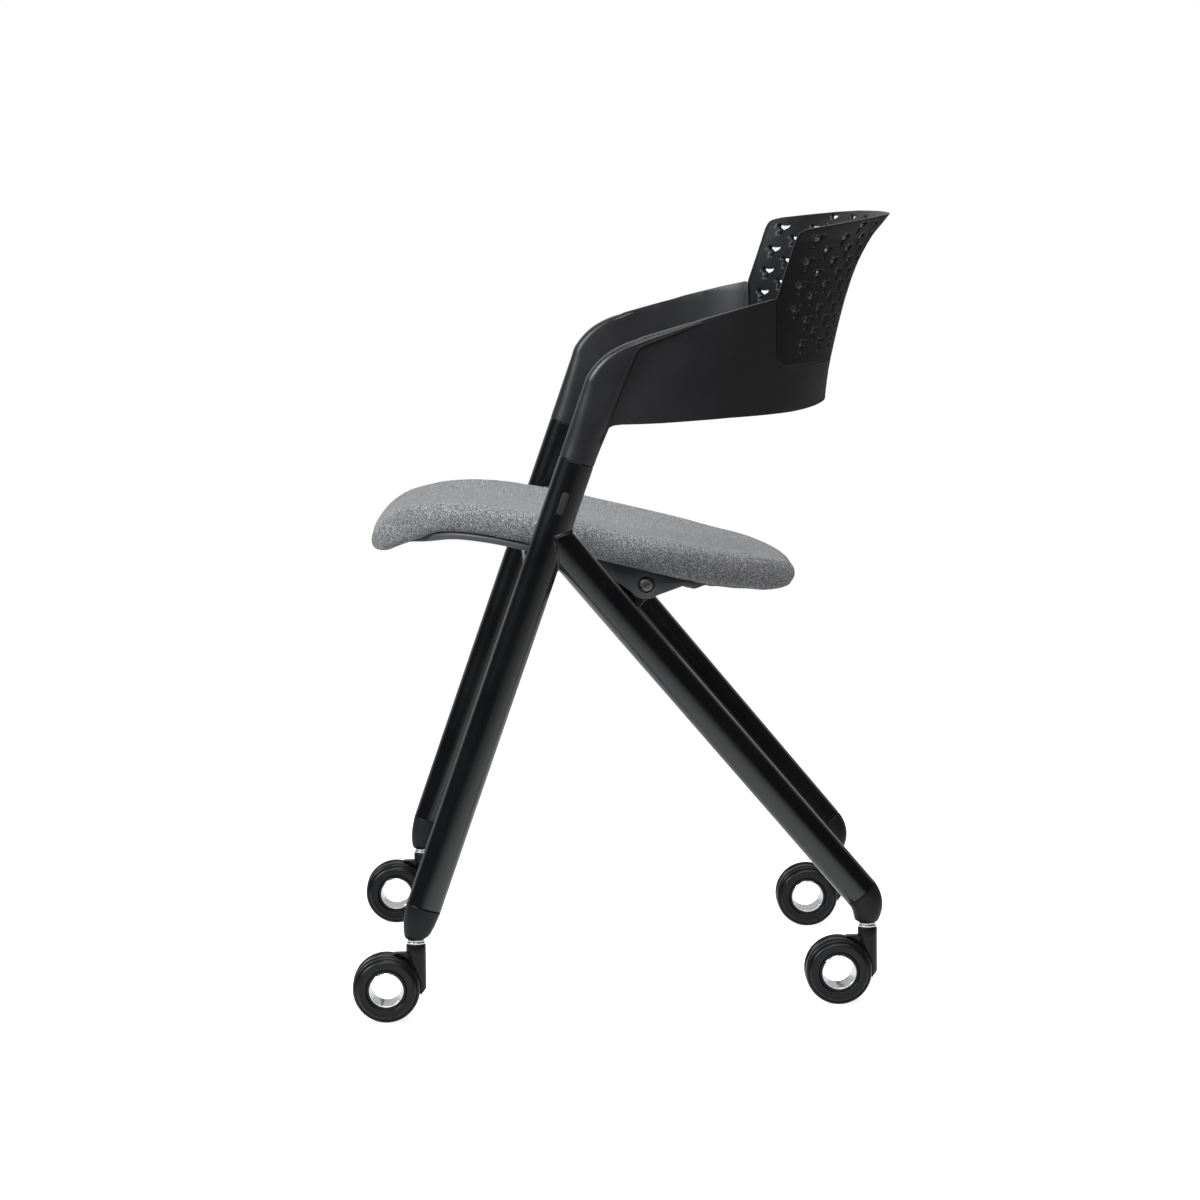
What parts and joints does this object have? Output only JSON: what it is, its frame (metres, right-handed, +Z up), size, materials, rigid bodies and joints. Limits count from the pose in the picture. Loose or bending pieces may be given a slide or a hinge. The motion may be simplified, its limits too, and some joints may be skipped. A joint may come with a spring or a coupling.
{
  "type": "nesting chair",
  "caption": "Nesting armchair on casters: black tube A-frame legs, wrap-round perforated back, flip-up grey upholstered seat and open-hub caster wheels.",
  "frame": {"origin": "on the floor under the middle of the chair", "axes": "+Z up, -Y the way the sitter faces, +X the sitter's left"},
  "size_m": [0.602, 0.543, 0.7627],
  "materials": {
    "frame_paint": "satin black powder coat",
    "arm_plastic": "fine-textured black nylon",
    "back_plastic": "fine-textured black nylon",
    "cap_plastic": "matt black moulded plastic",
    "seat_fabric": "grey two-tone melange weave over foam",
    "seat_plywood": "raw plywood, hidden in the cushion",
    "pan_plastic": "dark grey moulded shell",
    "zinc_steel": "bright zinc plating",
    "bolt_black": "black oxide",
    "hub_chrome": "polished",
    "caster_plastic": "matt black nylon",
    "wheel_tread": "black soft tread",
    "black_rubber": "matt black",
    "bush_plastic": "natural acetal"
  },
  "bodies": {
    "frame": {"front_leg_left": "frame_paint", "rear_leg_left": "frame_paint", "pivot_tab_left": "frame_paint", "pivot_bush_left": "bush_plastic", "pivot_bolt_left": "bolt_black", "pivot_nut_left": "zinc_steel", "nesting_pad_left": "black_rubber", "arm_screw_left": "bolt_black", "front_leg_right": "frame_paint", "rear_leg_right": "frame_paint", "pivot_tab_right": "frame_paint", "pivot_bush_right": "bush_plastic", "pivot_bolt_right": "bolt_black", "pivot_nut_right": "zinc_steel", "nesting_pad_right": "black_rubber", "arm_screw_right": "bolt_black", "front_cross_bar": "frame_paint", "rear_cross_bar": "frame_paint", "arm_bow": "arm_plastic", "back_panel": "back_plastic", "front_left_leg_cap": "cap_plastic", "front_left_stem": "zinc_steel", "front_left_washer": "zinc_steel", "front_right_leg_cap": "cap_plastic", "front_right_stem": "zinc_steel", "front_right_washer": "zinc_steel", "rear_left_leg_cap": "cap_plastic", "rear_left_stem": "zinc_steel", "rear_left_washer": "zinc_steel", "rear_right_leg_cap": "cap_plastic", "rear_right_stem": "zinc_steel", "rear_right_washer": "zinc_steel"},
    "seat": {"seat_cushion": "seat_fabric", "seat_board": "seat_plywood", "seat_pan": "pan_plastic", "rest_bumper_left": "black_rubber", "rest_bumper_right": "black_rubber", "seat_screw_front_left": "zinc_steel", "seat_screw_front_right": "zinc_steel", "seat_screw_rear_left": "zinc_steel", "seat_screw_rear_right": "zinc_steel"},
    "front_left_caster": {"front_left_housing": "caster_plastic", "front_left_hub_ring": "hub_chrome"},
    "front_left_outer_wheel": {"front_left_outer_wheel": "wheel_tread"},
    "front_left_inner_wheel": {"front_left_inner_wheel": "wheel_tread"},
    "front_right_caster": {"front_right_housing": "caster_plastic", "front_right_hub_ring": "hub_chrome"},
    "front_right_outer_wheel": {"front_right_outer_wheel": "wheel_tread"},
    "front_right_inner_wheel": {"front_right_inner_wheel": "wheel_tread"},
    "rear_left_caster": {"rear_left_housing": "caster_plastic", "rear_left_hub_ring": "hub_chrome"},
    "rear_left_outer_wheel": {"rear_left_outer_wheel": "wheel_tread"},
    "rear_left_inner_wheel": {"rear_left_inner_wheel": "wheel_tread"},
    "rear_right_caster": {"rear_right_housing": "caster_plastic", "rear_right_hub_ring": "hub_chrome"},
    "rear_right_outer_wheel": {"rear_right_outer_wheel": "wheel_tread"},
    "rear_right_inner_wheel": {"rear_right_inner_wheel": "wheel_tread"}
  },
  "joints": [
    {"name": "seat_flip", "type": "hinge", "parent": "frame", "child": "seat", "pos_m": [0, 0.0181, 0.4065], "axis": [-1, 0, 0], "range_deg": [0, 82]},
    {"name": "front_left_swivel", "type": "hinge", "parent": "frame", "child": "front_left_caster", "pos_m": [0.281, -0.2104, 0.0745], "axis": [0, 0, 1], "continuous": true},
    {"name": "front_left_outer_spin", "type": "hinge", "parent": "front_left_caster", "child": "front_left_outer_wheel", "pos_m": [0.281, -0.2392, 0.0325], "axis": [1, 0, 0], "continuous": true},
    {"name": "front_left_inner_spin", "type": "hinge", "parent": "front_left_caster", "child": "front_left_inner_wheel", "pos_m": [0.281, -0.2392, 0.0325], "axis": [1, 0, 0], "continuous": true},
    {"name": "front_right_swivel", "type": "hinge", "parent": "frame", "child": "front_right_caster", "pos_m": [-0.281, -0.2104, 0.0745], "axis": [0, 0, 1], "continuous": true},
    {"name": "front_right_outer_spin", "type": "hinge", "parent": "front_right_caster", "child": "front_right_outer_wheel", "pos_m": [-0.281, -0.2392, 0.0325], "axis": [1, 0, 0], "continuous": true},
    {"name": "front_right_inner_spin", "type": "hinge", "parent": "front_right_caster", "child": "front_right_inner_wheel", "pos_m": [-0.281, -0.2392, 0.0325], "axis": [1, 0, 0], "continuous": true},
    {"name": "rear_left_swivel", "type": "hinge", "parent": "frame", "child": "rear_left_caster", "pos_m": [0.223, 0.2282, 0.0745], "axis": [0, 0, 1], "continuous": true},
    {"name": "rear_left_outer_spin", "type": "hinge", "parent": "rear_left_caster", "child": "rear_left_outer_wheel", "pos_m": [0.223, 0.1994, 0.0325], "axis": [1, 0, 0], "continuous": true},
    {"name": "rear_left_inner_spin", "type": "hinge", "parent": "rear_left_caster", "child": "rear_left_inner_wheel", "pos_m": [0.223, 0.1994, 0.0325], "axis": [1, 0, 0], "continuous": true},
    {"name": "rear_right_swivel", "type": "hinge", "parent": "frame", "child": "rear_right_caster", "pos_m": [-0.223, 0.2282, 0.0745], "axis": [0, 0, 1], "continuous": true},
    {"name": "rear_right_outer_spin", "type": "hinge", "parent": "rear_right_caster", "child": "rear_right_outer_wheel", "pos_m": [-0.223, 0.1994, 0.0325], "axis": [1, 0, 0], "continuous": true},
    {"name": "rear_right_inner_spin", "type": "hinge", "parent": "rear_right_caster", "child": "rear_right_inner_wheel", "pos_m": [-0.223, 0.1994, 0.0325], "axis": [1, 0, 0], "continuous": true}
  ]
}
